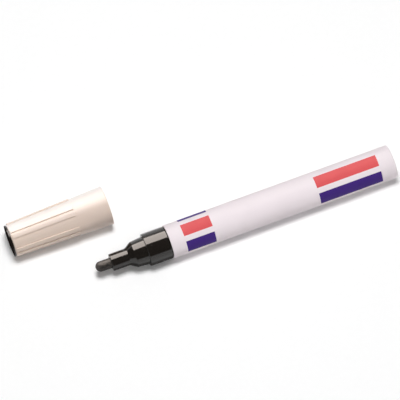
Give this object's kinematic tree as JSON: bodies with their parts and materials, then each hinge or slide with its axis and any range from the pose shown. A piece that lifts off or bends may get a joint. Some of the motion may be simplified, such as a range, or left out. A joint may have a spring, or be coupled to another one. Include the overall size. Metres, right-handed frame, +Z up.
{
  "type": "paint marker",
  "caption": "Valve-action paint marker with a bullet nib on a sprung valve, a loose mixing ball in its tube, and its ribbed cap lying beside it.",
  "frame": {"origin": "middle of the outline of marker and cap together, at table height", "axes": "+X along the marker from the nib to the closed end of the barrel, +Y across towards the cap, +Z up from the table"},
  "size_m": [0.155, 0.038, 0.0158],
  "materials": {
    "barrel_enamel": "thin aluminium tube in satin white baked enamel, with printed red and blue bars",
    "black_plastic": "glossy black moulded polypropylene",
    "nib_fibre": "pressed fibre soaked in black ink, matt",
    "seal_rubber": "matt black rubber",
    "valve_plastic": "natural white moulded plastic",
    "spring_steel": "drawn stainless spring wire",
    "ball_steel": "polished steel",
    "cap_plastic": "warm white moulded polypropylene, satin gloss",
    "liner_plastic": "natural white soft plastic"
  },
  "bodies": {
    "marker": {"barrel": "barrel_enamel", "front_section": "black_plastic", "valve_seat": "seal_rubber", "valve_spring": "spring_steel", "valve_body": "valve_plastic", "spring_retainer": "valve_plastic"},
    "nib_unit": {"nib": "nib_fibre", "valve_plunger": "valve_plastic"},
    "ball": {"mixing_ball": "ball_steel"},
    "cap": {"cap_shell": "cap_plastic", "inner_cap": "liner_plastic", "cap_end_plug": "black_plastic"}
  },
  "joints": [
    {"name": "nib_press", "type": "slide", "parent": "marker", "child": "nib_unit", "axis": [1, 0, 0], "range_m": [0, 0.002], "stiffness_N_per_m": 500, "springref_m": -0.003, "deforming": ["valve_spring"]},
    {"name": "ball_roll", "type": "slide", "parent": "marker", "child": "ball", "axis": [1, 0, 0], "range_m": [-0.0515, 0.0209]},
    {"name": "cap_pull", "type": "slide", "parent": "marker", "child": "cap", "axis": [1, 0, 0], "range_m": [-0.0146, 0.0168]}
  ]
}
